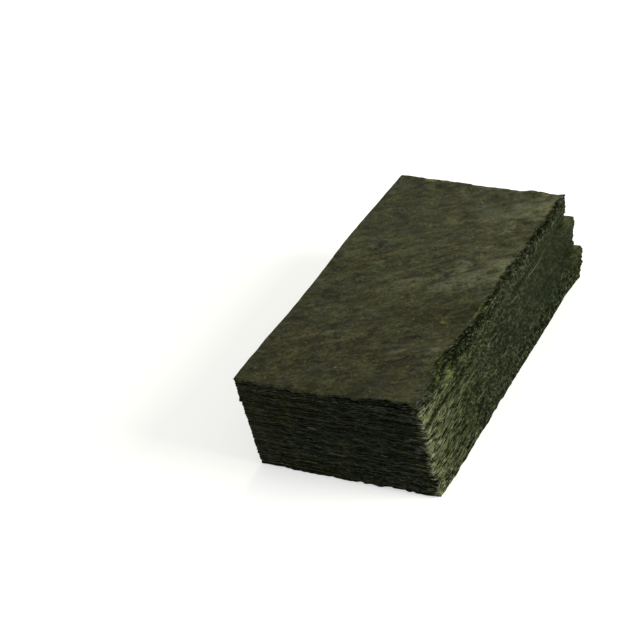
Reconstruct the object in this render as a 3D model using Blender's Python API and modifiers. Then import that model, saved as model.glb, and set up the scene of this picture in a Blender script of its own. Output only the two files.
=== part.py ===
"""A squared-up stack of half-cut roasted nori: three bundles of sheets, each a little askew on the next.

Metres, +Z up. X runs across the stack, from the knife-cut side at -X to the ragged side at +X, and Y
runs along it, from the front at -Y to the back. The origin is the middle of the footprint, on the floor.
Each solid is a pair of sheets that lie tight together, with a hair of air between it and the next pair.
"""

import math
import random
from collections import namedtuple

import bmesh
import bpy
from mathutils import Matrix, Vector

# Driving dimensions.
SHEET_WIDTH = 0.105  # across X: half of a full 210 mm sheet
SHEET_LENGTH = 0.190  # along Y: the whole side of a full sheet
SHEET_PITCH = 0.00057  # one crinkled sheet with the air that it holds
SHEETS_IN_PAIR = 2
PAIR_GAP = 0.0003  # air between one pair and the next
RIM_CELL = 0.0035  # the narrow grid cells along the rim, which hold the corners
SEED = 19

# A bundle's slips are how far its front and back ends lie towards +X, at its top sheet and at its foot.
# Its ear is how far the back corner at +X sticks out from that, also at its top sheet and at its foot.
# Its skews are how far the front and back edges run out of square over a sheet's width.
Bundle = namedtuple("Bundle", "name pairs front_slip back_slip ear front_skew back_skew shade")
BUNDLES = (  # from the floor up
    Bundle("lower", 20, (0.0010, 0.0017), (-0.0022, -0.0018), (0.0067, 0.0009), 0.0002, 0.0004, 0.85),
    Bundle("middle", 17, (0.0012, 0.0008), (-0.0029, -0.0024), (0.0054, 0.0014), 0.0006, 0.0012, 0.90),
    Bundle("upper", 13, (0.0003, 0.0000), (0.0000, -0.0032), (0.0000, 0.0000), 0.0014, 0.0024, 1.00),
)
EAR_LENGTH = 0.017  # how far from the back the ears begin
SLIP_POWER = 1.6  # the slip grows slowly at a bundle's top and fast at its foot

# Unevenness of the sheets.
NATURAL_RAGGEDNESS = 0.0007  # front, back and +X edges, as the seaweed dried in its frame
CUT_RAGGEDNESS = 0.0001  # the -X edge, which a knife cut through the whole pile
LOOSE_SLIDE = 0.0004  # how far a pair lies out of its bundle, at random
TOP_HOLLOW = 0.0036  # how far the top pair's +X edge is drawn in at its middle
HOLLOW_PAIRS = 3  # pairs below the top over which that hollow fades out
FRONT_BOW = 0.0010  # how far the upper sheets' front edges bulge at their middle
CORNER_PULL = 0.0004  # how far a corner is drawn in along either side
WORN_CORNER_PULL = 0.0016  # the same for the front corner at +X in the lowest sheet

# Waves that all sheets share. They are full at the top of the stack and die out at the floor.
ROLL_HEIGHT = 0.0007
ROLL_LENGTH = 0.125
ROLL_SLANT = 9.0  # radians of the roll's phase for each metre across the stack
DROOP_DEPTH = 0.0014  # the front edge sags here, left of its middle
DROOP_CENTRE = (-0.017, -0.095)
DROOP_SIZE = (0.032, 0.036)

EVEN_CELLS_ACROSS = 3  # the grid's cells between the narrow ones
EVEN_CELLS_ALONG = 6

SEAWEED = (0.020, 0.026, 0.010)
PAIR_PITCH = SHEET_PITCH * SHEETS_IN_PAIR
PAIR_THICKNESS = PAIR_PITCH - PAIR_GAP
PAIRS = sum(bundle.pairs for bundle in BUNDLES)


def clear_objects():
    """Removes what the open file holds."""
    for thing in list(bpy.data.objects):
        bpy.data.objects.remove(thing)


def seaweed_material(bundle):
    """Roasted seaweed: nearly black green, with a dull gloss."""
    material = bpy.data.materials.new(f"roasted_nori_{bundle.name}")
    material.use_nodes = True
    shader = material.node_tree.nodes["Principled BSDF"]
    shader.inputs["Base Color"].default_value = (*(tone * bundle.shade for tone in SEAWEED), 1.0)
    shader.inputs["Roughness"].default_value = 0.55
    shader.inputs["Metallic"].default_value = 0.0
    return material


def between(ends, share):
    """The value that lies this share of the way from the first of two ends to the second."""
    return ends[0] + (ends[1] - ends[0]) * share


def grid_lines(span, even_cells, extra_lines=()):
    """Where grid lines lie about a pair's middle: even cells, a narrow one at either rim, and extra lines."""
    inner = span - 2.0 * RIM_CELL
    lines = [RIM_CELL + inner * step / even_cells for step in range(even_cells + 1)]
    return sorted(line - span / 2.0 for line in [0.0, span, *lines, *extra_lines])


LINES_ACROSS = grid_lines(SHEET_WIDTH, EVEN_CELLS_ACROSS)
LINES_ALONG = grid_lines(SHEET_LENGTH, EVEN_CELLS_ALONG, [SHEET_LENGTH - EAR_LENGTH])
CELLS_ACROSS = len(LINES_ACROSS) - 1
CELLS_ALONG = len(LINES_ALONG) - 1


def swell(x, y):
    """Height of the waves that the sheets share at the top of the stack."""
    roll = math.sin(2.0 * math.pi * y / ROLL_LENGTH + ROLL_SLANT * x)
    away = ((x - DROOP_CENTRE[0]) / DROOP_SIZE[0]) ** 2 + ((y - DROOP_CENTRE[1]) / DROOP_SIZE[1]) ** 2
    return ROLL_HEIGHT * roll - DROOP_DEPTH * math.exp(-away)


def corner_pull(column, row, pairs_above):
    """How far a corner point is drawn in: more, and more towards the floor, at the front corner at +X."""
    worn = column == CELLS_ACROSS and row == 0
    return between((CORNER_PULL, WORN_CORNER_PULL), pairs_above / PAIRS) if worn else CORNER_PULL


def sheet_point(column, row, bundle, depth, pairs_above, rng):
    """A grid point of one flat pair, about the pair's own middle, with its edges uneven."""
    x = LINES_ACROSS[column]
    y = LINES_ALONG[row]
    side = 2.0 * x / SHEET_WIDTH
    end = 2.0 * y / SHEET_LENGTH
    at_side = column in (0, CELLS_ACROSS)
    at_end = row in (0, CELLS_ALONG)
    if column == CELLS_ACROSS:
        near_back = max(0.0, 1.0 - (SHEET_LENGTH / 2.0 - y) / EAR_LENGTH)
        x += between(bundle.ear, depth**SLIP_POWER) * near_back
    if at_side and at_end:
        pull = corner_pull(column, row, pairs_above)
        x -= math.copysign(pull, side)
        y -= math.copysign(pull, end)
    if row <= 1:
        height_share = 1.0 - pairs_above / PAIRS
        y += bundle.front_skew * side / 2.0 - FRONT_BOW * height_share * (1.0 - side**2)
    if row >= CELLS_ALONG - 1:
        y -= bundle.back_skew * side / 2.0
    if column >= CELLS_ACROSS - 1:
        hollow = max(0.0, 1.0 - pairs_above / HOLLOW_PAIRS)
        x -= TOP_HOLLOW * hollow * (1.0 - end**4)
    if column == 0:
        x += rng.uniform(-CUT_RAGGEDNESS, CUT_RAGGEDNESS)
    if column == CELLS_ACROSS:
        x += rng.uniform(-NATURAL_RAGGEDNESS, NATURAL_RAGGEDNESS)
    if at_end:
        y += rng.uniform(-NATURAL_RAGGEDNESS, NATURAL_RAGGEDNESS)
    return x, y


def lay_pair(bundle, depth, rng):
    """How a pair lies in its bundle, where depth is 0 at the bundle's top and 1 at its foot."""
    share = depth**SLIP_POWER
    front = between(bundle.front_slip, share)
    back = between(bundle.back_slip, share)
    turn = Matrix.Rotation(-(back - front) / SHEET_LENGTH, 4, "Z")
    slide = Vector(((front + back) / 2.0, rng.uniform(-LOOSE_SLIDE, LOOSE_SLIDE), 0.0))
    return Matrix.Translation(slide) @ turn


def make_pair(name, bundle, depth, level, material, rng):
    """Two sheets pressed together: one wavy surface, thickened downwards, with both faces split alike."""
    lie = lay_pair(bundle, depth, rng)
    waviness = level / (PAIRS - 1)
    mesh = bpy.data.meshes.new(name)
    bm = bmesh.new()
    bmesh.ops.create_grid(bm, x_segments=CELLS_ACROSS, y_segments=CELLS_ALONG, size=0.5)
    for vert in bm.verts:
        column = round((vert.co.x + 0.5) * CELLS_ACROSS)
        row = round((vert.co.y + 0.5) * CELLS_ALONG)
        x, y = sheet_point(column, row, bundle, depth, PAIRS - 1 - level, rng)
        spot = lie @ Vector((x, y, 0.0))
        vert.co = (x, y, waviness * swell(spot.x, spot.y))
    bmesh.ops.triangulate(bm, faces=bm.faces[:])
    bm.to_mesh(mesh)
    bm.free()
    mesh.materials.append(material)
    pair = bpy.data.objects.new(name, mesh)
    pair.matrix_world = Matrix.Translation((0.0, 0.0, level * PAIR_PITCH + PAIR_THICKNESS)) @ lie
    thicken = pair.modifiers.new("two_sheets", "SOLIDIFY")
    thicken.thickness = PAIR_THICKNESS
    thicken.offset = -1.0
    return pair


def footprint_middle(pairs):
    """The middle of the box round all the pairs, at floor level."""
    corners = [pair.matrix_world @ vert.co for pair in pairs for vert in pair.data.vertices]
    xs = [corner.x for corner in corners]
    ys = [corner.y for corner in corners]
    return Vector(((min(xs) + max(xs)) / 2.0, (min(ys) + max(ys)) / 2.0, 0.0))


def build_stack():
    """Lays the bundles on each other and puts the middle of their footprint at the origin."""
    collection = bpy.data.collections.new("roasted_nori_stack")
    bpy.context.scene.collection.children.link(collection)
    rng = random.Random(SEED)
    pairs = []
    for bundle in BUNDLES:
        material = seaweed_material(bundle)
        for place in range(bundle.pairs):
            name = f"{bundle.name}_pair_{place + 1:02d}"
            depth = 1.0 - place / (bundle.pairs - 1)
            pairs.append(make_pair(name, bundle, depth, len(pairs), material, rng))
    stack = bpy.data.objects.new("nori_stack", None)
    collection.objects.link(stack)
    middle = footprint_middle(pairs)
    for pair in pairs:
        collection.objects.link(pair)
        pair.parent = stack
    stack.location = -middle


clear_objects()
build_stack()
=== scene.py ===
import math

import bpy
import numpy as np
from mathutils import Matrix, Vector
from mathutils.geometry import delaunay_2d_cdt


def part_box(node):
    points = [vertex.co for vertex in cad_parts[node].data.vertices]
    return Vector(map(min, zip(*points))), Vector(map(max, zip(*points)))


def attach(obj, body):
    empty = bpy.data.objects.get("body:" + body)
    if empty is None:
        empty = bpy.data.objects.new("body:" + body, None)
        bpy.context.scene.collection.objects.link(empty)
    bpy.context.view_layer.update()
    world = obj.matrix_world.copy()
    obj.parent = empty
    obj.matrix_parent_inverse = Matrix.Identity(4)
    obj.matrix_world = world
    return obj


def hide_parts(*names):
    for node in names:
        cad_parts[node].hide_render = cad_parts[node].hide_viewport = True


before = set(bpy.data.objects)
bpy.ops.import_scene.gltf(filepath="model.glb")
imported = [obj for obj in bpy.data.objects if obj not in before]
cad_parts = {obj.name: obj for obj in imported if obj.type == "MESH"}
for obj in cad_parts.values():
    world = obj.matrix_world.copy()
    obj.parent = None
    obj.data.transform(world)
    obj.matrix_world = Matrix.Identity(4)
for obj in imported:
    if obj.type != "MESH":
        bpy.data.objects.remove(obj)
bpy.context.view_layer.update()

# The sheets. Lengths are metres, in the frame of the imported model: X runs across the stack, from its
# knife-cut side on the left to its natural side on the right, and Y along it, from its front to its back.
SHEET_WIDTH = 0.105
SHEET_LENGTH = 0.190
SHEET_PITCH = 0.00057
SHEET_THICKNESS = 0.00034
SHEETS_IN_PAIR = 2
STACK_HEIGHT = 0.057
CORNER_RADIUS = 0.0007
SEED = 7

LEVELS = sorted(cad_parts, key=lambda name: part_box(name)[0].z)  # the solid pairs, from the floor up
SHEETS = len(LEVELS) * SHEETS_IN_PAIR
GROUPS = (5, 5, 5, 5, 6, 6, 5, 6, 6, 1)  # pairs in each piece, from the floor up
LOOSE_SHEETS = 9  # at the top of the stack, with ragged edges all round
LOOSE_GAPS = (0.0011, 0.0007, 0.0007, 0.0008, 0.0010, 0.0009)  # between the top sheets, from below

# How the solid pairs' sides are read: how far from the nominal edge their points may lie, and how many
# pairs above and below are averaged.
SIDE_SLACK = 0.0125
END_SLACK = 0.010
PAIRS_AVERAGED = 3

# Plans of a sheet: the steps of its points round the natural edges and along the cut one, the rings inside,
# as insets and how many times wider their step is, and the step of the points in the middle.
PLAIN_PLAN = (0.0010, 0.0040, ((0.0004, 1), (0.0014, 1), (0.0038, 2), (0.0090, 6)), 0.015)
TOP_PLAN = (0.0009, 0.0020, ((0.0004, 1), (0.0011, 1)), 0.00075)

# Where the outline differs from the solid pairs'.
LONG_CORNER = 0.0034  # how much farther the top sheet's back left corner reaches
FOOT_CORNER = (0.0010, 0.0017)  # how far the lowest sheets' front right corner reaches out, across and along
WORN_CORNER = 0.0005  # how much of that corner is worn off
WORN_REACH = 0.009
BAY_MIDDLE = -0.053  # of the bay in the top sheets' right edge, along Y
BAY_HALF_LENGTH = 0.016
BAY_DEPTH = 0.0042
BAY_FADE = 0.008  # how far in from the edge the bay is felt

# Waves that all sheets share, full at the top of the stack and gone at its foot.
ROLL_HEIGHT = 0.0007
ROLL_LENGTH = 0.125
ROLL_SLANT = 9.0
DROOP_DEPTH = 0.0014
DROOP_CENTRE = (-0.017, -0.095)
DROOP_SIZE = (0.032, 0.036)

# Raggedness of the edges.
FRONT_FADE = 0.045  # what marks the front dies out over this length towards the back
EDGE_FADE = 0.0022  # raggedness dies out over this depth into the sheet
CUT_WAVES = ((0.012, 0.00006), (0.002, 0.00003))  # cell and height of the knife-cut edge's waves
NATURAL_WAVES = ((0.015, 0.00022), (0.004, 0.00034))  # and of the natural edges'
FINE_WAVES = (0.0012, 0.00018, 0.00040)  # cell, height, and how much higher they are in the top sheet
NIBBLES = 6  # the mean number of them on an edge
NIBBLE_WIDTHS = (0.0005, 0.0016)
NIBBLE_DEPTHS = (-0.0005, 0.0012)
CALM_RIGHT = 0.12  # raggedness of the right edge towards the back, as a share of the front's
EAR_RAGGEDNESS = (0.6, 0.006)  # the same at the very back, and over what length
FRONT_RAGGEDNESS = (0.8, 0.012)  # of the front edge, and how far from the left corner it sets in
BACK_RAGGEDNESS = 0.3

# Relief that neighbouring sheets share: cells along the side and up it, and height.
RELIEFS = {
    "right_ticks": (0.0034, 0.0011, 0.0008),
    "right_broad": (0.0100, 0.0028, 0.0004),
    "right_layers": (0.0050, 0.0009, 0.0009),
    "right_fine": (0.0022, 0.0006, 0.0004),
    "front_broad": (0.0160, 0.0026, 0.0008),
    "front_fine": (0.0018, 0.0010, 0.0007),
    "back_fine": (0.0024, 0.0012, 0.0004),
    "top_bites": (0.0018, 0.0006, 0.0008),
    "top_broad": (0.0045, 0.0012, 0.0008),
    # the last one mottles the painted shade under the loose top sheets
    "top_shade": (0.0020, 0.0008, 1.0),
}
RELIEF_REACH = 0.17
RIGHT_LEAN = math.radians(38)  # ticks on the right side run down towards the back at this angle
LAYERED_FROM = -0.030  # from here to the front, the right side's slanting ticks give way to level layers
LAYERED_OVER = 0.030
FRONT_GROOVE = 0.0440  # height of the groove that runs across the front where the upper bundle ends
GROOVE_CELL = 0.010
GROOVE_WANDER = 0.0010
GROOVE_DEPTH = 0.0011
GROOVE_HALF_WIDTH = 0.0008

# How sheets cling in clumps. The last two are in shares of the pitch.
FIRST_CLUMP = 3  # sheets that cling to the lowest
CLUMP_SIZES = (2, 6)  # sheets in each other clump: from the first number, and below the second
LEAST_AIR = 0.00003
CLUMP_STEP = (0.6, 1.5)  # how much higher a clump's first sheet lies than the one below it
CLING_AIR = (0.05, 0.25)  # air below the others

# Crinkles of each sheet: cell and height.
CLUMP_BROAD = (0.020, 0.00014)
CLUMP_FINE = (0.006, 0.00008, 0.00028)  # and how much higher near an edge
OWN_BROAD = (0.010, 0.00006)
OWN_RIM = (0.0040, 0.00024)
LOOSE_BROAD = (0.011, 0.0006)
LOOSE_FINE = (0.003, 0.0004)
NEAR_EDGE = 0.018  # broad crinkles of an edge die out over this depth into the sheet
NEAR_RIM = 0.005  # and fine ones over this
NEAR_SIDE = 0.015  # over this depth the right side adds to them and the left side takes away
UNEVENNESS = (0.06, 0.12, 0.78)  # everywhere, what the front adds, and what its right corner adds
PRESSED = 0.85  # how much flatter the loose sheets lie by the knife-cut side
FLAT_SHEETS = 4  # the lowest sheets, flattened by the floor
SLIDE = (0.0001, 0.0004)  # how far a sheet lies out of its place, across and along

# Wrinkles of the top sheet: cells along and across them, or one cell for both, and height.
FOLD_SLANT = math.radians(28)
FOLDS = (0.015, 0.0050, 0.00024)
WISPS = (0.0042, 0.0015, 0.00016)
RIPPLES = (0.0018, 0.0010, 0.00007)
DIMPLES = (0.0040, 0.00008)
GRAIN = (0.0010, 0.00003)
WRINKLE_PATCHES = 0.022  # cell of the patches where these are stronger
RIDGES = (  # middle, direction in degrees, half width, height and half length
    (0.033, 0.012, 20.0, 0.011, 0.0014, 0.038),
    (0.044, 0.077, 26.0, 0.011, 0.0011, 0.026),
    (0.040, -0.052, 10.0, 0.006, 0.0008, 0.026),
    (-0.020, -0.052, 16.0, 0.006, 0.0005, 0.018),
    (-0.030, 0.030, 22.0, 0.009, 0.0005, 0.022),
    (0.040, -0.024, 14.0, 0.011, -0.0004, 0.028),
)

# Colours, and how far in from the edge they reach.
RIM_WIDTH = 0.0016
LOOSE_RIM_WIDTH = 0.0060  # how much wider the rim's colours are in the loose sheets
# how far in the torn rim's painted glow reaches
TORN_GLOW_DEPTH = 0.003
SHADE_RIM = 0.006  # painted shade: the loose sheets are darkened this far in from their right edge, where the gaps under the top sheets lie in shade
STAIN_AND_SHADE_DEPTH = 0.003  # of the stains and painted shade on the right side
EAR_STAIN_AND_SHADE_DEPTH = 0.008  # how much deeper they are on the ears
EAR_FROM = 0.08
YELLOW = (0.150, 0.158, 0.050)
BRIGHT = (0.240, 0.285, 0.100)
LIME = (0.125, 0.150, 0.046)
FRESH = (0.075, 0.088, 0.034)
PALE = (0.200, 0.220, 0.130)
# The next two colours are painted shade.
SHADE_MOSS = (0.014, 0.019, 0.008)
SHADE_DARK = (0.006, 0.009, 0.005)
SLATE = (0.010, 0.013, 0.018)
RUSSET = (0.036, 0.018, 0.010)
# Stains, painted shade and painted highlights: middle, half widths, colour, strength. On the top sheet in x
# and y, on the right side in y and z.
TOP_STAINS_AND_HIGHLIGHTS = (
    (-0.032, 0.0965, 0.0036, 0.0016, YELLOW, 1.0),
    # The next two, along the back edge, are painted highlight: the lit rim of the back edge.
    (0.008, 0.0948, 0.0050, 0.0007, YELLOW, 0.6),
    (0.025, 0.0944, 0.0050, 0.0007, YELLOW, 0.6),
    (0.034, -0.0275, 0.0020, 0.0008, YELLOW, 1.0),
    (0.0494, -0.0185, 0.0012, 0.0032, LIME, 0.9),
    (0.0492, -0.0120, 0.0012, 0.0036, LIME, 0.8),
    (-0.0038, -0.0748, 0.0009, 0.0008, PALE, 1.0),
    (0.0375, -0.0088, 0.0040, 0.0025, YELLOW, 0.30),
    (-0.0013, 0.0588, 0.0045, 0.0028, YELLOW, 0.25),
    (-0.0306, 0.0288, 0.0022, 0.0020, SLATE, 0.8),
    (-0.0256, 0.0410, 0.0022, 0.0014, SLATE, 0.7),
    (-0.0080, -0.0920, 0.0016, 0.0026, RUSSET, 0.8),
    (-0.0490, 0.0170, 0.0018, 0.0030, RUSSET, 0.6),
)
# On the right side the dark patches are painted shade, under the loose top sheets at the front and beside
# the ledges at the back, and the moss patch at the back right corner is painted shade too.
RIGHT_STAINS_AND_SHADE = (
    (-0.0655, 0.0480, 0.0032, 0.0009, BRIGHT, 0.8),
    (-0.0605, 0.0500, 0.0034, 0.0010, BRIGHT, 1.0),
    (-0.0555, 0.0520, 0.0030, 0.0008, LIME, 0.9),
    (-0.0690, 0.0506, 0.0045, 0.0008, SHADE_DARK, 0.8),
    (-0.0530, 0.0498, 0.0050, 0.0007, SHADE_DARK, 0.7),
    (-0.0700, 0.0548, 0.0060, 0.0007, LIME, 0.9),
    (-0.0600, 0.0552, 0.0070, 0.0007, LIME, 0.9),
    (-0.0640, 0.0528, 0.0075, 0.0009, SHADE_DARK, 0.8),
    (-0.0125, 0.0550, 0.0048, 0.0015, LIME, 0.9),
    (-0.0010, 0.0535, 0.0035, 0.0006, PALE, 0.8),
    (0.0100, 0.0465, 0.0016, 0.0007, PALE, 0.7),
    (-0.0490, 0.0035, 0.0028, 0.0014, BRIGHT, 0.9),
    (0.0215, 0.0055, 0.0014, 0.0008, PALE, 0.8),
    (0.0790, 0.0065, 0.0030, 0.0009, PALE, 0.5),
    (0.0930, 0.0395, 0.0050, 0.0034, FRESH, 0.85),
    (0.0930, 0.0200, 0.0055, 0.0038, FRESH, 0.95),
    (0.0955, 0.0305, 0.0018, 0.0050, SHADE_DARK, 0.75),
    (0.0955, 0.0110, 0.0022, 0.0055, SHADE_DARK, 0.75),
    (0.0890, 0.0555, 0.0012, 0.0009, PALE, 0.7),
    (0.0890, 0.0495, 0.0060, 0.0035, SHADE_MOSS, 0.7),
)
# Long pale fibres on the right side: where they begin and end along Y, and their height.
RIGHT_FIBRES = (
    (-0.0460, -0.0370, 0.0360),
    (-0.0330, -0.0240, 0.0250),
    (-0.0410, -0.0300, 0.0180),
    (-0.0230, -0.0150, 0.0190),
    (-0.0080, -0.0010, 0.0200),
    (0.0130, 0.0230, 0.0400),
    (0.0330, 0.0580, 0.0400),
)
# The same on the front side, along X.
FRONT_FIBRES = (
    (0.0360, 0.0500, 0.0200),
    (0.0430, 0.0515, 0.0160),
    (0.0240, 0.0295, 0.0215),
    (-0.0060, 0.0050, 0.0170),
    (-0.0150, -0.0090, 0.0330),
    (0.0400, 0.0500, 0.0345),
)
FIBRE_STEP = 0.0015
FIBRE_BOW = 0.0008  # how far a fibre leans out from its edge
FIBRE_WANDER = (0.004, 0.0001)  # cell and size of its random bends
FIBRE_RADII = (0.00007, 0.00015)
SET_FIBRE_BOW = 0.0013  # the same for a fibre of the two lists
SET_FIBRE_RADIUS = 0.00013
TIPS = 1.1  # the mean number of short frayed tips on a sheet, most of them near the front right corner
TIPS_FADE = 0.028
TIPS_SPAN = (-0.094, 0.08)
TIP_LENGTHS = (0.0012, 0.0035)
TIP_SLANTS = (0.0, 0.9)  # how steeply they hang
LONG_SHARE = 0.12  # of the sheets have a long fibre at the front
LONG_SPAN = (-0.045, 0.035)
LONG_LENGTHS = (0.004, 0.010)

# Colours of a sheet's face, dark to light and cool to warm, each with its place on the ramp.
FACE_TONES = (
    (0.50, (0.0070, 0.0074, 0.0032)),
    (0.67, (0.0192, 0.0195, 0.0080)),
    (0.82, (0.0385, 0.0392, 0.0156)),
    (0.96, (0.0770, 0.0790, 0.0335)),
)
FACE_HUES = (
    (0.26, (0.86, 1.05, 1.34)),
    (0.38, (0.84, 1.08, 0.85)),
    (0.50, (1.00, 1.00, 0.82)),
    (0.62, (1.10, 1.00, 0.55)),
    (0.74, (1.16, 0.95, 0.90)),
)
# Painted sheen: the pale grey-green laid on the top sheet's wrinkles, standing for the light glancing off
# them.
SHEEN_PAINT = (0.125, 0.131, 0.079)
FACE_FLECKS = (0.110, 0.120, 0.034)

# The same of its torn rim.
RIM_TONES = (
    (0.36, (0.0046, 0.0064, 0.0024)),
    (0.50, (0.0125, 0.0165, 0.0066)),
    (0.60, (0.0520, 0.0610, 0.0285)),
    (0.72, (0.1350, 0.1530, 0.0750)),
    (0.88, (0.2450, 0.2680, 0.1400)),
)
RIM_HUES = (
    (0.36, (0.84, 1.00, 1.35)),
    (0.50, (0.96, 1.00, 0.98)),
    (0.64, (1.08, 1.00, 0.66)),
)
RIM_SPECKLES = (
    (0.42, (0.26, 0.28, 0.26)),
    (0.50, (0.84, 0.86, 0.84)),
    (0.57, (1.50, 1.50, 1.50)),
)
FRONT_SHADES = (
    (0.40, (1.00, 0.96, 1.25)),
    (0.60, (1.09, 0.96, 1.15)),
)
RIM_SPECKS = (0.115, 0.130, 0.075)
RIM_FLECKS = (0.060, 0.068, 0.034)

# The camera, fitted to the corners of the stack in a picture 640 pixels wide. Angles are in degrees.
PICTURE_WIDTH = 640
FOCAL_PIXELS = 1709.9
SENSOR_WIDTH = 36.0
CAMERA_PLACE = (0.4169, -0.6288, 0.5586)
CAMERA_HEADING = -37.32
CAMERA_PITCH = 34.15
CAMERA_ROLL = -15.0

LIGHTS = (  # name, place, target, size, power and colour
    ("sheen", (-0.16, 1.15, 0.74), (0.03, 0.04, 0.057), 0.30, 3.7, (1.0, 0.98, 0.62)),
    ("side", (1.35, 0.10, 0.75), (0.0, 0.0, 0.03), 0.7, 17.5, (1.0, 1.0, 0.90)),
)
WORLD_STRENGTH = 0.40
FLOOR_SIZE = 12.0
FLOOR_COLOUR = (0.86, 0.86, 0.86)
FLOOR_ROUGHNESS = 0.8
FLOOR_GLOW = 0.58


def lattice(rng, cell, reach=0.13, cell_along=None):
    """A smooth random height over the plane, about -1 to 1, whose bumps are about two cells wide."""
    cells = (cell, cell_along or cell)
    counts = [int(2 * reach / size) + 6 for size in cells]
    table = rng.uniform(-1.0, 1.0, counts)

    def weights(share):
        b, c = share**3, share**2
        first, second = (1 - share) ** 3 / 6, (3 * b - 6 * c + 4) / 6
        return first, second, (-3 * b + 3 * c + 3 * share + 1) / 6, b / 6

    def height(x, y):
        across, along = (x + reach) / cells[0] + 1, (y + reach) / cells[1] + 1
        i = np.clip(np.floor(across).astype(int), 1, counts[0] - 4)
        j = np.clip(np.floor(along).astype(int), 1, counts[1] - 4)
        total = 0.0
        for m, wide in enumerate(weights(across - i)):
            for n, deep in enumerate(weights(along - j)):
                total = total + wide * deep * table[i + m - 1, j + n - 1]
        return 2.0 * total

    return height


def wobble(rng, cell):
    """The same along a line."""
    noise = lattice(rng, cell, cell_along=0.05)
    row = rng.uniform(-0.1, 0.1)
    return lambda along: noise(along, np.full_like(along, row))


def swell(x, y):
    """Height of the shared waves at the top of the stack."""
    roll = np.sin(2 * math.pi * y / ROLL_LENGTH + ROLL_SLANT * x)
    away = ((x - DROOP_CENTRE[0]) / DROOP_SIZE[0]) ** 2 + ((y - DROOP_CENTRE[1]) / DROOP_SIZE[1]) ** 2
    return ROLL_HEIGHT * roll - DROOP_DEPTH * np.exp(-away)


# ---------------- outlines
def rim_points(node):
    """The corners of a solid pair's upper face outline, in plan."""
    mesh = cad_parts[node].data
    walls, tops = set(), set()
    for face in mesh.polygons:
        kind = tops if face.normal.z > 0.5 else walls if face.normal.z > -0.5 else None
        if kind is not None:
            kind.update(tuple(round(c, 6) for c in mesh.vertices[i].co) for i in face.vertices)
    return np.array(sorted(walls & tops))[:, :2]


def side_line(points, axis):
    """A side of the solid pair as a function of the place along it, without the points at its ends."""
    points = points[np.argsort(points[:, axis])][2:-2]
    at, value = points[:, axis], points[:, 1 - axis]
    slope = (value[-1] - value[-2]) / (at[-1] - at[-2]) if axis else 0.0

    def line(where):
        return np.interp(where, at, value) + slope * np.maximum(where - at[-1], 0.0)

    return line


def sides_of(node):
    """Where the solid pair's four sides run: its left, right, front and back edges."""
    rim = rim_points(node)
    keep_side = SHEET_WIDTH / 2 - SIDE_SLACK
    keep_end = SHEET_LENGTH / 2 - END_SLACK
    return (
        side_line(rim[rim[:, 0] < -keep_side], 1),
        side_line(rim[rim[:, 0] > keep_side], 1),
        side_line(rim[rim[:, 1] < -keep_end], 0),
        side_line(rim[rim[:, 1] > keep_end], 0),
    )


def mean_sides(level):
    """The mean sides of the solid pairs round this level in its bundle, without their random steps."""
    bundle = LEVELS[level].split("_")[0]
    near = [
        sides
        for k, (name, sides) in enumerate(zip(LEVELS, ALL_SIDES))
        if name.split("_")[0] == bundle and abs(k - level) <= PAIRS_AVERAGED
    ]

    def mean(side):
        return lambda where: sum(sides[side](where) for sides in near) / len(near)

    return [mean(side) for side in range(4)]


# ---------------- flat pattern of a sheet
def rounded_loop(inset, step, cut_step):
    """Points round the sheet, counter-clockwise from the front left corner, this far in from its edge."""
    a, b = SHEET_WIDTH / 2 - inset, SHEET_LENGTH / 2 - inset
    r = max(CORNER_RADIUS - inset, 0.0003)
    points = []

    def run(start, end, spacing):
        count = max(1, round(math.dist(start, end) / spacing))
        points.extend(Vector(start).lerp(Vector(end), k / count) for k in range(count))

    def arc(centre, first):
        for k in range(3):
            angle = first + math.pi / 2 * k / 3
            points.append(Vector(centre) + r * Vector((math.cos(angle), math.sin(angle))))

    arc((-a + r, -b + r), math.pi)
    run((-a + r, -b), (a - r, -b), step)
    arc((a - r, -b + r), -math.pi / 2)
    run((a, -b + r), (a, b - r), step)
    arc((a - r, b - r), 0.0)
    run((a - r, b), (-a + r, b), step)
    arc((-a + r, b - r), math.pi / 2)
    run((-a, b - r), (-a, -b + r), cut_step)
    return points


def flat_pattern(step, cut_step, rings, inner_step, rng):
    """A sheet's plan, fine at its rim: points, triangles and the loop of its rim."""
    rim = rounded_loop(0.0, step, cut_step)
    points = list(rim)
    for inset, wider in rings:
        points += rounded_loop(inset, step * wider, max(cut_step, step * wider))
    deepest = rings[-1][0] + inner_step * 0.6
    a, b = SHEET_WIDTH / 2 - deepest, SHEET_LENGTH / 2 - deepest
    columns, rows = max(1, round(2 * a / inner_step)), max(1, round(2 * b / inner_step))
    for i in range(columns + 1):
        for j in range(rows + 1):
            jitter = rng.uniform(-0.25, 0.25, 2) * inner_step
            points.append(Vector((-a + 2 * a * i / columns + jitter[0], -b + 2 * b * j / rows + jitter[1])))
    verts, _, tris, old_indices, _, _ = delaunay_2d_cdt(points, [], [list(range(len(rim)))], 1, 1e-7)
    new_index = {old: new for new, olds in enumerate(old_indices) for old in olds}
    loop = np.array([new_index[k] for k in range(len(rim))])
    return np.array([tuple(vert) for vert in verts]), np.array(tris), loop


def edge_distance(x, y):
    """How far inside the nominal outline a point lies, never less than nothing."""
    gap = np.minimum(SHEET_WIDTH / 2 - np.abs(x), SHEET_LENGTH / 2 - np.abs(y))
    return np.maximum(gap, 0.0)


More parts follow.
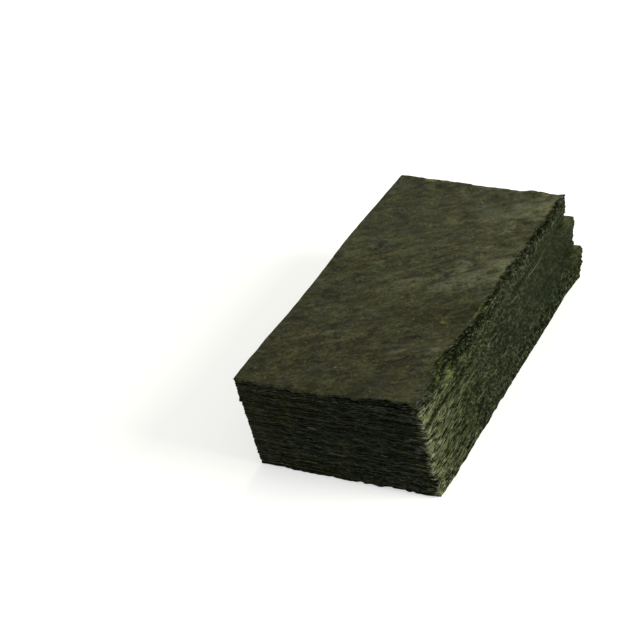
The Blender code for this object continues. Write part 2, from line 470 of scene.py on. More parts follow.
class SideReliefs:
    """Raggedness that neighbouring sheets share, as a relief over each natural side of the stack."""

    def __init__(self, rng):
        self.noises = {
            name: lattice(rng, cell, RELIEF_REACH, cell_up) for name, (cell, cell_up, _) in RELIEFS.items()
        }
        self.groove = wobble(rng, GROOVE_CELL)

    def relief(self, name, along, up):
        return RELIEFS[name][2] * self.noises[name](along, up)

    def right(self, y, z):
        along = y * math.cos(RIGHT_LEAN) - z * math.sin(RIGHT_LEAN)
        across = y * math.sin(RIGHT_LEAN) + z * math.cos(RIGHT_LEAN)
        slanting = self.relief("right_ticks", along, across) + self.relief("right_broad", along, across)
        layers = self.relief("right_layers", y, z) + self.relief("right_fine", y, z)
        layered = np.clip((LAYERED_FROM - y) / LAYERED_OVER, 0.0, 1.0)
        return (1.0 - layered) * slanting + layered * layers

    def front(self, x, z):
        beside = (z - FRONT_GROOVE - GROOVE_WANDER * self.groove(x)) / GROOVE_HALF_WIDTH
        uneven = self.relief("front_fine", x, z) + self.relief("front_broad", x, z)
        return uneven - GROOVE_DEPTH * np.exp(-(beside**2))

    def back(self, x, z):
        return self.relief("back_fine", x, z)

    def bites(self, y, z):
        return self.relief("top_bites", y, z) + self.relief("top_broad", y, z)


def front_share(y):
    """1 at the front of the stack, and less and less towards the back."""
    return np.exp(-np.maximum(y + SHEET_LENGTH / 2, 0.0) / FRONT_FADE)


def sheet_edge_noise(rng, natural, loose):
    """How far one sheet's edge runs out or in on its own. Natural edges are ragged and nibbled."""
    waves = [(wobble(rng, cell), height) for cell, height in (NATURAL_WAVES if natural else CUT_WAVES)]
    nibbles = []
    if natural:
        cell, height, loose_height = FINE_WAVES
        waves.append((wobble(rng, cell), height + loose_height * loose))
        for _ in range(rng.poisson(NIBBLES)):
            middle, width = rng.uniform(-0.1, 0.1), rng.uniform(*NIBBLE_WIDTHS)
            nibbles.append((middle, width, rng.uniform(*NIBBLE_DEPTHS)))

    def out(along):
        total = sum(height * wave(along) for wave, height in waves)
        for at, wide, deep in nibbles:
            total = total - deep * np.exp(-(((along - at) / wide) ** 4))
        return total

    return out


def right_raggedness(y, loose):
    """How ragged the right edge is along its length: fully at the front and in the top sheets."""
    along = np.maximum(CALM_RIGHT + (1.0 - CALM_RIGHT) * front_share(y), min(1.0, 1.5 * loose))
    at_ear, ear_length = EAR_RAGGEDNESS
    return np.maximum(along, at_ear * np.exp(-(SHEET_LENGTH / 2 - y) / ear_length))


def lay_out(pattern, sides, reliefs, z, rng, slide, loose):
    """The pattern's points in the frame: stretched to the solid pair's sides, slid a little, edges ragged.

    loose is 1 for the top sheet and falls to nothing over the sheets below it."""
    left, right, front, back = sides
    x, y = pattern[:, 0], pattern[:, 1]
    u, v = x / SHEET_WIDTH + 0.5, y / SHEET_LENGTH + 0.5
    down = front(x) * (1 - v) + back(x) * v
    across = left(down) * (1 - u) + right(down) * u
    down = front(across) * (1 - v) + back(across) * v

    # Each side's own raggedness, and how much of it is felt at each point.
    to_left, to_right = x + SHEET_WIDTH / 2, SHEET_WIDTH / 2 - x
    to_front, to_back = y + SHEET_LENGTH / 2, SHEET_LENGTH / 2 - y
    near_left, near_right, near_front, near_back = (
        np.exp(-inset / EDGE_FADE) for inset in (to_left, to_right, to_front, to_back)
    )
    left_noise, right_noise, front_noise, back_noise = (
        sheet_edge_noise(rng, natural, loose) for natural in (False, True, True, True)
    )
    height = np.full_like(x, z)
    right_edge = right_noise(y) + reliefs.right(y, height) + loose * reliefs.bites(y, height)
    front_edge = (0.60 + 0.50 * loose) * front_noise(x) + reliefs.front(x, height)
    back_edge = back_noise(x) + reliefs.back(x, height)
    from_corner = FRONT_RAGGEDNESS[0] * (1.0 - np.exp(-to_left / FRONT_RAGGEDNESS[1]))
    right_edge = near_right * right_raggedness(y, loose) * right_edge
    across = across + slide[0] - near_left * left_noise(y) + right_edge
    down = down + slide[1] * (1 - v) - near_front * from_corner * front_edge
    down = down + near_back * BACK_RAGGEDNESS * back_edge

    # The long corner and the bay of the top sheets, and the worn corner of the lowest.
    down = down + LONG_CORNER * loose * (1.0 - u) * v**2
    bay = np.exp(-(((y - BAY_MIDDLE) / BAY_HALF_LENGTH) ** 4) - to_right / BAY_FADE)
    across = across - BAY_DEPTH * loose * bay
    foot = np.clip(1.0 - z / STACK_HEIGHT, 0.0, 1.0)
    across = across + FOOT_CORNER[0] * foot * u * (1.0 - 0.5 * v)
    down = down - FOOT_CORNER[1] * foot * np.maximum(u, 0.0) ** 1.5 * (1.0 - v) ** 2
    by_corner = np.maximum(0.0, 1.0 - (to_right + to_front) / WORN_REACH) ** 1.5
    wear_and_sheen = WORN_CORNER * (1.0 - z / STACK_HEIGHT) * by_corner
    return across - wear_and_sheen, down + wear_and_sheen


# ---------------- heights
GRID_STEP = 0.00125
GRID_X = np.arange(-0.060, 0.0601, GRID_STEP)
GRID_Y = np.arange(-0.102, 0.1021, GRID_STEP)
GRID = np.meshgrid(GRID_X, GRID_Y, indexing="ij")


def read_grid(heights, x, y):
    """A height grid's value at scattered points."""
    i = (x - GRID_X[0]) / GRID_STEP
    j = (y - GRID_Y[0]) / GRID_STEP
    i0 = np.clip(np.floor(i).astype(int), 0, len(GRID_X) - 2)
    j0 = np.clip(np.floor(j).astype(int), 0, len(GRID_Y) - 2)
    s, t = i - i0, j - j0
    low = heights[i0, j0] * (1 - t) + heights[i0, j0 + 1] * t
    high = heights[i0 + 1, j0] * (1 - t) + heights[i0 + 1, j0 + 1] * t
    return low * (1 - s) + high * s


def spacings(rng):
    """Which clump each sheet clings in, and the height of its underside: loose at the top of the stack."""
    clump, gaps = [0], [0.0]
    left = FIRST_CLUMP
    for _ in range(1, SHEETS - len(LOOSE_GAPS)):
        if left == 0:
            left = int(rng.integers(*CLUMP_SIZES))
            clump.append(clump[-1] + 1)
            gaps.append(rng.uniform(*CLUMP_STEP) * SHEET_PITCH)
        else:
            clump.append(clump[-1])
            gaps.append(SHEET_THICKNESS + rng.uniform(*CLING_AIR) * SHEET_PITCH)
        left -= 1
    scale = ((SHEETS - 1) * SHEET_PITCH - sum(LOOSE_GAPS)) / sum(gaps)
    gaps = [gap * scale for gap in gaps] + list(LOOSE_GAPS)
    clump += [clump[-1] + 1 + k for k in range(len(LOOSE_GAPS))]
    return clump, np.cumsum(gaps)


def looseness(place):
    """1 for the top sheet, less for each sheet below it, and nothing for most of the stack."""
    return max(0.0, 1.0 - (SHEETS - 1 - place) / LOOSE_SHEETS)


def sheet_heights(rng):
    """The underside of every sheet as a grid of heights, each clear of the one below."""
    clump, levels = spacings(rng)
    x, y = GRID
    inset = edge_distance(x, y)
    near, rim = np.exp(-inset / NEAR_EDGE), np.exp(-inset / NEAR_RIM)
    by_corner = front_share(y) * np.exp(-np.maximum(SHEET_WIDTH / 2 - x, 0.0) / NEAR_SIDE)
    pressed = 1.0 - PRESSED * np.exp(-np.maximum(x + SHEET_WIDTH / 2, 0.0) / NEAR_SIDE)
    uneven = UNEVENNESS[0] + UNEVENNESS[1] * front_share(y) + UNEVENNESS[2] * by_corner
    shared = swell(x, y)

    def bump(cell):
        return lattice(rng, cell)(x, y)

    fields, last_clump, clump_field = [], -1, 0.0
    for k in range(SHEETS):
        if clump[k] != last_clump:
            broad, fine = lattice(rng, CLUMP_BROAD[0]), lattice(rng, CLUMP_FINE[0])
            fine_height = CLUMP_FINE[1] + CLUMP_FINE[2] * near
            clump_field = CLUMP_BROAD[1] * broad(x, y) + uneven * fine_height * fine(x, y)
            last_clump = clump[k]
        own = OWN_BROAD[1] * bump(OWN_BROAD[0]) + uneven * OWN_RIM[1] * rim * bump(OWN_RIM[0])
        lifted = LOOSE_BROAD[1] * near * bump(LOOSE_BROAD[0]) + LOOSE_FINE[1] * rim * bump(LOOSE_FINE[0])
        even, level = k * SHEET_PITCH, levels[k]
        if k < SHEETS - len(LOOSE_GAPS):
            level = even + uneven * (level - even)
        settled = min(1.0, k / FLAT_SHEETS)
        want = level + k / (SHEETS - 1) * shared + settled * (clump_field + own)
        want = want + looseness(k) * pressed * lifted
        if fields:
            want = np.maximum(want, fields[-1] + SHEET_THICKNESS + LEAST_AIR)
        fields.append(np.maximum(want, 0.0))
    return fields


# ---------------- meshes
def crumpled(rng):
    """The top sheet's wrinkles as a height, and their painted sheen as functions of the place: how far their
    colour is lightened where light glances off them.
    """
    folds = lattice(rng, FOLDS[0], reach=0.30, cell_along=FOLDS[1])
    wisps = lattice(rng, WISPS[0], reach=0.16, cell_along=WISPS[1])
    ripples = lattice(rng, RIPPLES[0], reach=0.16, cell_along=RIPPLES[1])
    dimples, grain = lattice(rng, DIMPLES[0]), lattice(rng, GRAIN[0])
    patches = lattice(rng, WRINKLE_PATCHES)

    def along_folds(x, y, angle=FOLD_SLANT):
        ahead = x * math.cos(angle) + y * math.sin(angle)
        return ahead, -x * math.sin(angle) + y * math.cos(angle)

    def ridges(x, y):
        total = 0.0
        for at_x, at_y, degrees, wide, high, reach in RIDGES:
            ahead, beside = along_folds(x - at_x, y - at_y, math.radians(degrees))
            total = total + high * np.exp(-((beside / wide) ** 2) - (ahead / reach) ** 2)
        return total

    def height(x, y):
        place = along_folds(x, y)
        strong = np.clip(0.60 + 0.55 * patches(x, y) + 7.0 * x + 300.0 * ridges(x, y), 0.15, 1.5)
        made = FOLDS[2] * folds(*place) + WISPS[2] * wisps(*place) + RIPPLES[2] * ripples(*place)
        return ridges(x, y) + strong * made + DIMPLES[1] * dimples(x, y) + GRAIN[1] * grain(x, y)

    def painted_sheen(x, y):
        place = along_folds(x, y)
        share = 0.55 + 0.7 * wisps(*place) + 0.5 * folds(*place)
        # Painted light: a lighter band across the middle, and more towards the back right, where the sheen
        # falls.
        middle = 0.17 * np.exp(-(((y - 0.012) / 0.035) ** 2))
        broad_sheen = np.clip(0.90 + 1.5 * x + 1.5 * y, 0.2, 1.3) * (0.10 + middle + 0.24 * wisps(*place))
        return np.clip(1030.0 * ridges(x, y) * share + broad_sheen, 0.0, 1.0)

    return height, painted_sheen


def stains_and_light_at(first, second, stains_and_light, rng):
    """The colour and strength of the stains and painted light at points, given two of their coordinates."""
    colour = np.zeros((len(first), 4))
    edge = lattice(rng, 0.0006)(first, second)
    for a, b, wide, high, paint, strength in stains_and_light:
        away = ((first - a) / wide) ** 2 + ((second - b) / high) ** 2
        share = strength * np.clip(1.3 - away + 1.1 * edge, 0.0, 1.0) * (away < 2.5)
        stronger = share > colour[:, 3]
        colour[stronger] = np.column_stack([np.tile(paint, (len(first), 1)), share])[stronger]
    return colour


def right_side_stains_and_shade(flat, y, z, reliefs, rng, loose):
    """Stains of a sheet's right edge, and the painted shade of the loose sheets: dark patches where the gaps
    under the top sheets lie in shade.
    """
    inward = SHEET_WIDTH / 2 - flat[:, 0]
    stain_and_light = stains_and_light_at(y, z, RIGHT_STAINS_AND_SHADE, rng)
    stain_and_light = stain_and_light * (inward < STAIN_AND_SHADE_DEPTH + EAR_STAIN_AND_SHADE_DEPTH * (y > EAR_FROM))[:, None]
    clean, mottle = stain_and_light[:, 3] < 0.1, reliefs.relief("top_shade", y, z)
    # Painted shade: the loose sheets' right rims are darkened in patches, where the gaps between them lie in
    # shade.
    near_rim = np.clip(1.5 * (1.0 - inward / SHADE_RIM), 0.0, 1.0)
    shown = np.where(inward > 0.0003, min(1.0, 4.0 * loose), loose)
    patchy = np.clip(2.4 * shown * (0.40 - 3.2 * np.maximum(y, 0.0) + mottle), 0.0, 0.95)
    painted_shade = clean * near_rim * patchy
    shaded = painted_shade > 0.02
    stain_and_light[shaded] = np.column_stack([np.tile(SHADE_DARK, (len(flat), 1)), painted_shade])[shaded]
    return stain_and_light


def solid_sheet(pattern, sides, reliefs, field, rng, place, relief=None):
    """One sheet: its plan laid out twice, a thickness apart, and walled round its rim.

    relief is the top sheet's, as crumpled gives it."""
    flat, tris, loop = pattern
    count = len(flat)
    slide, loose = rng.uniform(-1.0, 1.0, 2) * SLIDE, looseness(place)
    x, y = lay_out(flat, sides, reliefs, float(field.mean()), rng, slide, loose)
    z = read_grid(field, x, y)
    if relief:
        z = z + relief[0](x, y)
        stain_and_light = stains_and_light_at(x, y, TOP_STAINS_AND_HIGHLIGHTS, rng)
        rim_width = RIM_WIDTH
    else:
        stain_and_light = right_side_stains_and_shade(flat, y, z, reliefs, rng, loose)
        rim_width = RIM_WIDTH + LOOSE_RIM_WIDTH * min(1.0, 4.0 * loose)

    lower = np.column_stack([x, y, z])
    upper = lower + np.array([0.0, 0.0, SHEET_THICKNESS])
    ahead = np.roll(loop, -1)
    wall = np.concatenate([
        np.column_stack([loop, ahead, ahead + count]),
        np.column_stack([loop, ahead + count, loop + count]),
    ])
    faces = np.concatenate([tris + count, tris[:, ::-1], wall])

    to_right = SHEET_WIDTH / 2 - flat[:, 0]
    wide = np.minimum(to_right, SHEET_LENGTH / 2 + flat[:, 1])
    narrow = 3.0 * np.minimum(SHEET_WIDTH / 2 + flat[:, 0], SHEET_LENGTH / 2 - flat[:, 1])  # left and back
    inset = np.maximum(np.minimum(wide, narrow), 0.0)
    rough = front_share(flat[:, 1])
    numbers = {
        "rim": np.clip(1.0 - inset / rim_width, 0.0, 1.0),
        "rough": rough,
        # the right rim by the front corner: torn, and lightened in the material as painted glow
        "torn_and_glow": rough * np.exp(-to_right / TORN_GLOW_DEPTH) * (1.0 - 0.75 * loose),
        "tone": np.full(count, rng.uniform(-1.0, 1.0)),
        # the top sheet's painted sheen
        "painted_sheen": relief[1](x, y) if relief else np.zeros(count),
        # stains, with painted shade and painted highlight among them
        "stain_and_light": stain_and_light,
    }
    both = {key: np.concatenate([values, values]) for key, values in numbers.items()}
    return np.concatenate([lower, upper]), faces, both


def strand(points, radius):
    """A thin frayed fibre along a line of points: closed, with four sides."""
    points = np.array(points)
    ahead = np.gradient(points, axis=0)
    ahead /= np.linalg.norm(ahead, axis=1, keepdims=True)
    side = np.cross(ahead, (0.0, 0.0, 1.0))
    side /= np.maximum(np.linalg.norm(side, axis=1, keepdims=True), 1e-9)
    up = np.cross(side, ahead)
    thick = radius * np.sin(np.linspace(0.35, math.pi - 0.35, len(points)))[:, None]
    rings = np.stack([points + thick * way for way in (side, up, -side, -up)], axis=1)
    faces = []
    for k in range(len(points) - 1):
        for m in range(4):
            a, b = 4 * k + m, 4 * k + (m + 1) % 4
            faces += [(a, b, b + 4), (a, b + 4, a + 4)]
    last = 4 * (len(points) - 1)
    faces += [(0, 2, 1), (0, 3, 2), (last, last + 1, last + 2), (last, last + 2, last + 3)]
    return rings.reshape(-1, 3), np.array(faces)[:, ::-1]


def join(parts):
    """Closed shapes as one list of points and faces, with the numbers at their points."""
    starts = np.cumsum([0] + [len(points) for points, _, _ in parts])
    faces = np.concatenate([tris + start for (_, tris, _), start in zip(parts, starts)])
    numbers = {key: np.concatenate([part[2][key] for part in parts]) for key in parts[0][2]}
    return np.concatenate([part[0] for part in parts]), faces, numbers


def mesh_object(name, verts, faces, numbers):
    """A mesh object with smooth faces and hard rims, and a number at each point for each attribute."""
    mesh = bpy.data.meshes.new(name)
    mesh.vertices.add(len(verts))
    mesh.vertices.foreach_set("co", verts.astype(np.float32).ravel())
    mesh.loops.add(len(faces) * 3)
    mesh.loops.foreach_set("vertex_index", faces.astype(np.int32).ravel())
    mesh.polygons.add(len(faces))
    mesh.polygons.foreach_set("loop_start", np.arange(0, len(faces) * 3, 3, dtype=np.int32))
    mesh.update(calc_edges=True)
    mesh.validate()
    mesh.shade_smooth()
    mesh.set_sharp_from_angle(angle=math.radians(50))
    for key, values in numbers.items():
        kind, field = ("FLOAT", "value") if values.ndim == 1 else ("FLOAT_COLOR", "color")
        mesh.attributes.new(key, kind, "POINT").data.foreach_set(field, values.astype(np.float32).ravel())
    made = bpy.data.objects.new(name, mesh)
    bpy.context.scene.collection.objects.link(made)
    return made


# ---------------- materials
class Nodes:
    """Small helpers to write a node tree in few lines."""

    def __init__(self, name):
        self.material = bpy.data.materials.new(name)
        self.material.use_nodes = True
        self.tree = self.material.node_tree
        self.shader = self.tree.nodes["Principled BSDF"]

    def add(self, kind, inputs=None, **settings):
        node = self.tree.nodes.new(kind)
        for key, value in settings.items():
            setattr(node, key, value)
        for key, value in (inputs or {}).items():
            self.feed(node.inputs[key], value)
        return node

    def feed(self, socket, value):
        if isinstance(value, bpy.types.NodeSocket):
            self.tree.links.new(value, socket)
        else:
            socket.default_value = value

    def noise(self, where, scale, detail=2.0, roughness=0.55, output="Fac"):
        inputs = {"Vector": where, "Scale": scale, "Detail": detail, "Roughness": roughness}
        return self.add("ShaderNodeTexNoise", inputs).outputs[output]

    def cells(self, where, scale):
        """Patches that each have a random colour of their own, as three numbers."""
        node = self.add("ShaderNodeTexVoronoi", {"Vector": where, "Scale": scale})
        return self.add("ShaderNodeSeparateColor", {"Color": node.outputs["Color"]}).outputs

    def ramp(self, value, stops):
        node = self.add("ShaderNodeValToRGB", {"Fac": value})
        elements = node.color_ramp.elements
        while len(elements) < len(stops):
            elements.new(1.0)
        for element, (place, colour) in zip(elements, stops):
            element.position = place
            element.color = (*colour, 1.0)
        return node.outputs["Color"]

    def mix(self, share, first, second, blend="MIX"):
        node = self.add("ShaderNodeMix", data_type="RGBA", blend_type=blend)
        for socket, value in zip((node.inputs[0], node.inputs[6], node.inputs[7]), (share, first, second)):
            if isinstance(value, tuple) and len(value) == 3:
                value = (*value, 1.0)
            self.feed(socket, value)
        return node.outputs[2]

    def math(self, operation, *values, clamp=False):
        node = self.add("ShaderNodeMath", operation=operation, use_clamp=clamp)
        for socket, value in zip(node.inputs, values):
            self.feed(socket, value)
        return node.outputs[0]

    def product(self, first, *others):
        for other in others:
            first = self.math("MULTIPLY", first, other)
        return first

    def total(self, first, *others):
        for other in others:
            first = self.math("ADD", first, other)
        return first

    def weighted(self, *terms):
        """The total of some values, each times its weight."""
        return self.total(*(self.math("MULTIPLY", value, weight) for value, weight in terms))

    def tinted(self, share, body, tint):
        """This share of the body colour is multiplied by the tint."""
        return self.mix(share, body, tint, "MULTIPLY")

    def vector(self, operation, first, second):
        node = self.add("ShaderNodeVectorMath", {0: first, 1: second}, operation=operation)
        return node.outputs["Vector"]

    def range(self, value, low, high, to_low=0.0, to_high=1.0):
        inputs = {"Value": value, "From Min": low, "From Max": high, "To Min": to_low, "To Max": to_high}
        return self.add("ShaderNodeMapRange", inputs, clamp=True).outputs["Result"]

    def attribute(self, name):
        return self.add("ShaderNodeAttribute", attribute_name=name).outputs["Fac"]

    def turned(self, where, angles, stretch):
        """Coordinates for a pattern that is turned by these angles, and stretched along its own axes."""
        inputs = {"Vector": where, "Rotation": tuple(math.radians(a) for a in angles), "Scale": stretch}
        return self.add("ShaderNodeMapping", inputs, vector_type="TEXTURE").outputs[0]


def surface_colour(n, spot, parts, painted_sheen):
    """The face of a sheet: small patches of frond in olive, brown, green and slate, streaked and flecked,
    and paler where a sheen is painted on.
    """
    wander = n.vector("SUBTRACT", n.noise(spot, 600, 2.0, 0.5, output="Color"), (0.5, 0.5, 0.5))
    bent = n.vector("ADD", spot, n.vector("MULTIPLY", wander, (0.003, 0.003, 0.003)))
    slanted = n.turned(bent, (0, 0, 25), (1.3, 0.9, 1.0))
    small, large = n.cells(slanted, 480), n.cells(slanted, 180)
    cloud = n.noise(spot, 70, 3.0, 0.55)
    fibres = n.noise(n.turned(bent, (0, 0, 27), (1.7, 1.0, 1.0)), 760, 4.0, 0.7)
    tone = n.weighted((small[0], 0.19), (large[0], 0.09), (cloud, 0.36), (fibres, 0.82))
    # Painted highlight: the sheen on the wrinkles is laid on as a paler colour.
    wear_and_sheen = n.product(painted_sheen, n.range(fibres, 0.37, 0.63, 0.18, 1.00))
    body = n.mix(wear_and_sheen, n.ramp(tone, FACE_TONES), SHEEN_PAINT)

    coarse_hue = n.noise(n.vector("ADD", spot, (0.5, 0.2, 0.1)), 260, 3.0, 0.55)
    fine_hue = n.noise(n.vector("ADD", spot, (0.1, 0.4, 0.3)), 700, 2.0, 0.55)
    hues = n.weighted((small[1], 0.22), (large[1], 0.36), (coarse_hue, 1.00), (fine_hue, 0.60))
    body = n.tinted(0.51, body, n.ramp(n.math("SUBTRACT", hues, 0.59), FACE_HUES))

    # The front is warmer, and its right corner darker as painted shade. The back is less blue.
    front = n.range(parts["Y"], -0.09, -0.01, 1.0, 0.0)
    body = n.tinted(front, body, (1.07, 0.995, 1.0))
    body = n.tinted(n.product(front, n.range(parts["X"], -0.01, 0.03)), body, (0.85, 0.87, 0.87))
    body = n.tinted(n.range(parts["Y"], 0.03, 0.08), body, (0.97, 0.97, 0.91))

    flecks = n.range(n.noise(bent, 850, 2.0, 0.5), 0.60, 0.70)
    where = n.range(n.noise(spot, 240, 2.0, 0.5), 0.44, 0.58)
    return n.mix(n.product(flecks, where), body, FACE_FLECKS), fibres


def rim_tones(n, spot, rough, torn_and_glow, front, patches):
    """Light and dark of a torn rim: slanting ticks on the right side, level streaks elsewhere, and a painted
    glow by the front right corner.
    """
    ticks = n.noise(n.turned(spot, (-38, 0, 0), (1.6, 1.8, 0.8)), 520, 4.0, 0.65)
    streaks = n.noise(n.turned(spot, (4, 0, 0), (1.8, 4.4, 0.95)), 680, 4.0, 0.65)
    streaked = n.math("ADD", n.range(torn_and_glow, 0.20, 0.50, 0.0, 0.75), front, clamp=True)
    value = n.mix(streaked, ticks, streaks)
    value = n.mix(n.range(n.math("SUBTRACT", front, torn_and_glow), -1.0, 1.0, 0.10, 0.50), value, patches)
    contrast = n.weighted((rough, 0.10), (torn_and_glow, 1.05), (n.math("POWER", torn_and_glow, 0.6), 1.30))
    contrast = n.total(contrast, n.range(rough, 0.10, 0.60, 0.14, 0.24))
    # Painted light: the rim by the front right corner is lightened, as if its thin edges glowed in the
    # light.
    painted_glow = n.weighted((n.math("POWER", torn_and_glow, 1.5), 0.233), (rough, 0.004))
    return n.total(n.product(n.math("SUBTRACT", value, 0.5), contrast), 0.5, painted_glow)


def edge_colour(n, spot, parts, rough, torn_and_glow):
    """A torn rim: near black to fresh green, brightest by the front right corner, where painted light stands
    for the glow of its thin edges.

    rough is 1 at the front and fades towards the back; the second mask is 1 on the right side by that
    corner, where the rim is torn and lightened as painted glow."""
    front = n.math("SUBTRACT", rough, torn_and_glow, clamp=True)
    patches = n.noise(n.turned(spot, (0, 0, 0), (1.2, 1.2, 0.8)), 150, 3.0, 0.6)
    body = n.ramp(rim_tones(n, spot, rough, torn_and_glow, front, patches), RIM_TONES)
    hue = n.ramp(n.noise(n.vector("ADD", spot, (0.3, 0.1, 0.2)), 330, 2.0, 0.6), RIM_HUES)
    hued = n.total(n.product(front, 0.35), n.range(rough, 0.15, 0.60, 0.12, 0.50))
    body = n.tinted(hued, body, hue)
    body = n.tinted(torn_and_glow, body, (1.08, 1.00, 1.09))

    # Towards the back the rim is darker below and paler above, and palest on the ears, whose lightening is
    # painted light over the shade of their gaps.
    high = n.range(parts["Z"], 0.004, 0.045)
    back = n.mix(high, (0.58, 0.68, 0.31), (1.00, 1.06, 0.74))
    body = n.tinted(n.math("SUBTRACT", 1.0, rough), body, back)
    ear = n.product(n.range(parts["X"], 0.0505, 0.0535), n.range(parts["Y"], 0.078, 0.088))
    paler_back_lit_ears = n.mix(ear, n.mix(high, (2.01, 1.74, 3.80), (1.86, 1.65, 2.77)), (2.55, 2.20, 4.20))
    body = n.tinted(n.range(rough, 0.04, 0.30, 1.0, 0.0), body, paler_back_lit_ears)

    # The right side's upper and lower bands are speckled.
    bands = n.math("MAXIMUM", n.range(parts["Z"], 0.042, 0.052), n.range(parts["Z"], 0.004, 0.022, 1.0, 0.0))
    calm = n.math("MAXIMUM", n.product(front, 0.70), n.product(torn_and_glow, 0.45))
    shown = n.math("MAXIMUM", front, n.range(parts["X"], 0.030, 0.045))
    bands = n.product(bands, n.math("SUBTRACT", 1.0, calm), shown)
    grains = n.noise(n.turned(spot, (-38, 0, 0), (1.3, 1.3, 0.9)), 430, 3.0, 0.65)
    body = n.tinted(bands, body, n.ramp(grains, RIM_SPECKLES))
    specks = n.range(n.noise(spot, 520, 3.0, 0.6), 0.57, 0.63, 0.0, 0.9)
    body = n.mix(n.product(bands, specks), body, RIM_SPECKS)

    # The front is blotched and flecked, lighter at its foot and at its upper left.
    body = n.tinted(front, body, n.ramp(patches, FRONT_SHADES))
    flecks = n.range(n.noise(spot, 620, 3.0, 0.6), 0.57, 0.68, 0.0, 0.55)
    body = n.mix(n.product(front, flecks), body, RIM_FLECKS)
    foot = n.range(parts["Z"], 0.003, 0.024, 1.0, 0.0)
    body = n.tinted(n.product(front, foot), body, (1.15, 1.15, 1.06))
    upper_left = n.product(high, n.range(parts["X"], -0.048, -0.015, 1.0, 0.0))
    body = n.tinted(n.product(front, upper_left), body, (1.25, 1.20, 1.05))
    return n.tinted(n.product(front, n.range(parts["X"], 0.0, 0.035)), body, (1.00, 1.02, 1.12))


def seaweed_material():
    """Roasted seaweed: pressed dark green fronds, mottled and flecked, and fresher green at its torn rim;
    painted sheen, glow and shade are laid on as colour.
    """
    n = Nodes("roasted_nori")
    place = n.add("ShaderNodeTexCoord").outputs["Object"]
    tone = n.attribute("tone")
    offset = n.add("ShaderNodeCombineXYZ", {"X": tone, "Y": n.product(tone, 1.7)}).outputs[0]
    parts = n.add("ShaderNodeSeparateXYZ", {"Vector": place}).outputs
    rim, rough = n.attribute("rim"), n.attribute("rough")
    face, fibres = surface_colour(n, n.vector("ADD", place, offset), parts, n.attribute("painted_sheen"))
    edge = edge_colour(n, place, parts, rough, n.attribute("torn_and_glow"))
    body = n.mix(n.range(rim, 0.15, 0.75), face, edge)

    # Stains and painted shade on the rim are broken up by small flecks.
    stain_and_light = n.add("ShaderNodeAttribute", attribute_name="stain_and_light")
    flecked = n.product(rim, n.range(n.noise(place, 800, 3.0, 0.6), 0.41, 0.52, 0.0, 0.92))
    stain_and_light_share = n.product(stain_and_light.outputs["Alpha"], n.math("SUBTRACT", 1.0, flecked))
    body = n.mix(stain_and_light_share, body, stain_and_light.outputs["Color"])

    dull = n.range(rough, 0.10, 0.50, 0.003, 0.03)  # the rim's gloss, nearly gone towards the back
    bump = n.add("ShaderNodeBump", {"Strength": 0.45, "Distance": 0.00020, "Height": fibres})
    n.feed(n.shader.inputs["Base Color"], body)
    n.feed(n.shader.inputs["Roughness"], n.range(fibres, 0.35, 0.65, 0.42, 0.31))
    n.feed(n.shader.inputs["Specular IOR Level"], n.range(rim, 0.0, 0.6, 0.14, dull))
    n.feed(n.shader.inputs["Specular Tint"], (1.0, 0.98, 0.72, 1.0))
    n.feed(n.shader.inputs["Normal"], bump.outputs["Normal"])
    return n.material


# ---------------- the stack
def fibre_on(side, start, length, sides, field, rng, slant=0.0, bow=FIBRE_BOW, radius=None):
    """A pale fibre that lies along a sheet's right or front edge and leans out from it."""
    steps = max(5, round(length / FIBRE_STEP))
    along = start + np.linspace(0.0, length, steps)
    cell, size = FIBRE_WANDER
    out = bow * np.linspace(0.45, 1.0, steps) + size * wobble(rng, cell)(along)
    x, y = (sides[1](along) + out, along) if side == "right" else (along, sides[2](along) - out)
    z = read_grid(field, x, y) + SHEET_THICKNESS / 2 + size * wobble(rng, cell)(along)
    z = np.maximum(z - slant * (along - start), 0.0003)
    points, faces = strand(np.column_stack([x, y, z]), radius or rng.uniform(*FIBRE_RADII))
    none = np.zeros(len(points))
    stain_and_light = np.tile((*PALE, 0.9 if radius else rng.uniform(0.3, 0.9)), (len(points), 1))
    numbers = dict.fromkeys(("rim", "rough", "torn_and_glow", "tone", "painted_sheen"), none)
    return points, faces, {**numbers, "stain_and_light": stain_and_light}


def side_fibres(rng, sides, field, lower_field):
    """Fibres of one sheet: frayed tips by the front right corner, a few long ones, and the lists' own."""
    made = []
    for _ in range(rng.poisson(TIPS)):
        start = TIPS_SPAN[0] + rng.exponential(TIPS_FADE)
        if start < TIPS_SPAN[1]:
            length = rng.uniform(*TIP_LENGTHS)
            made.append(fibre_on("right", start, length, sides, field, rng, slant=rng.uniform(*TIP_SLANTS)))
    if rng.random() < LONG_SHARE:
        start, length = rng.uniform(*LONG_SPAN), rng.uniform(*LONG_LENGTHS)
        made.append(fibre_on("front", start, length, sides, field, rng))
    middle = np.array([0.0])
    low, high = (read_grid(f, middle + SHEET_WIDTH / 2 - 0.002, middle)[0] for f in (lower_field, field))
    for side, lines in (("right", RIGHT_FIBRES), ("front", FRONT_FIBRES)):
        for start, end, level in lines:
            if low < level <= high:
                own = {"bow": SET_FIBRE_BOW, "radius": SET_FIBRE_RADIUS}
                made.append(fibre_on(side, start, end - start, sides, field, rng, **own))
    return made


ALL_SIDES = [sides_of(node) for node in LEVELS]


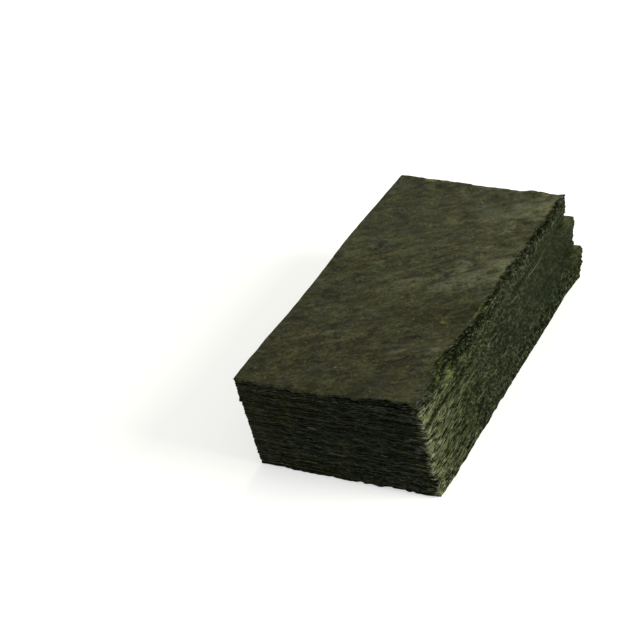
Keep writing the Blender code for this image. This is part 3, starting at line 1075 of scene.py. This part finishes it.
def build_sheets():
    """Lays every sheet on the one below, and joins them to pieces that each stand for some solid pairs."""
    rng = np.random.default_rng(SEED)
    plain, fine = flat_pattern(*PLAIN_PLAN, rng), flat_pattern(*TOP_PLAN, rng)
    fields = sheet_heights(rng)
    reliefs = SideReliefs(rng)
    material = seaweed_material()
    level = 0
    for number, pairs in enumerate(GROUPS):
        parts, nodes = [], LEVELS[level:level + pairs]
        for _ in nodes:
            sides = mean_sides(level)
            for place in range(level * SHEETS_IN_PAIR, (level + 1) * SHEETS_IN_PAIR):
                pattern, relief = (fine, crumpled(rng)) if place == SHEETS - 1 else (plain, None)
                parts.append(solid_sheet(pattern, sides, reliefs, fields[place], rng, place, relief))
                parts += side_fibres(rng, sides, fields[place], fields[max(place - 1, 0)])
            level += 1
        piece = mesh_object(f"nori_sheets_{number + 1:02d}", *join(parts))
        piece.data.materials.append(material)
        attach(piece, "root")
        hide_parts(*nodes)


# ---------------- camera, floor and light
def make_camera():
    """The fitted camera, turned by its heading, pitch and roll."""
    heading, pitch, roll = (math.radians(a) for a in (CAMERA_HEADING, CAMERA_PITCH, CAMERA_ROLL))
    ahead = Vector((
        math.sin(heading) * math.cos(pitch),
        math.cos(heading) * math.cos(pitch),
        -math.sin(pitch),
    ))
    level_right = Vector((math.cos(heading), -math.sin(heading), 0.0))
    level_up = level_right.cross(ahead)
    right = math.cos(roll) * level_right + math.sin(roll) * level_up
    up = -math.sin(roll) * level_right + math.cos(roll) * level_up
    data = bpy.data.cameras.new("camera")
    data.sensor_width = SENSOR_WIDTH
    data.lens = FOCAL_PIXELS * SENSOR_WIDTH / PICTURE_WIDTH
    data.clip_start, data.clip_end = 0.01, 20.0
    camera = bpy.data.objects.new("camera", data)
    turn = Matrix((right, up, -ahead)).transposed().to_4x4()
    camera.matrix_world = Matrix.Translation(CAMERA_PLACE) @ turn
    bpy.context.scene.collection.objects.link(camera)
    bpy.context.scene.camera = camera


def plain_material(name, colour, roughness, glow):
    """A dull even finish that glows a little, so that the floor stays pale."""
    material = bpy.data.materials.new(name)
    material.use_nodes = True
    shader = material.node_tree.nodes["Principled BSDF"]
    shader.inputs["Base Color"].default_value = (*colour, 1.0)
    shader.inputs["Roughness"].default_value = roughness
    shader.inputs["Specular IOR Level"].default_value = 0.2
    shader.inputs["Emission Color"].default_value = (*colour, 1.0)
    shader.inputs["Emission Strength"].default_value = glow
    return material


def make_floor():
    """A pale floor that reaches past every view."""
    bpy.ops.mesh.primitive_plane_add(size=FLOOR_SIZE, location=(0.0, 0.0, 0.0))
    floor = bpy.context.object
    floor.name = "floor"
    floor.data.materials.append(plain_material("pale_floor", FLOOR_COLOUR, FLOOR_ROUGHNESS, FLOOR_GLOW))


def area_light(name, place, target, size, power, colour):
    data = bpy.data.lights.new(name, "AREA")
    data.shape = "DISK"
    data.size = size
    data.energy = power
    data.color = colour
    lamp = bpy.data.objects.new(name, data)
    lamp.location = place
    lamp.rotation_euler = (Vector(target) - Vector(place)).to_track_quat("-Z", "Y").to_euler()
    bpy.context.scene.collection.objects.link(lamp)


def make_light():
    """A low sheen from behind, a broad light from the right, and soft light from all round."""
    for light in LIGHTS:
        area_light(*light)
    world = bpy.data.worlds.new("studio")
    world.use_nodes = True
    background = world.node_tree.nodes["Background"]
    background.inputs["Color"].default_value = (1.0, 1.0, 1.0, 1.0)
    background.inputs["Strength"].default_value = WORLD_STRENGTH
    bpy.context.scene.world = world


make_camera()
make_floor()
make_light()
build_sheets()
bpy.context.scene.view_settings.view_transform = "Standard"
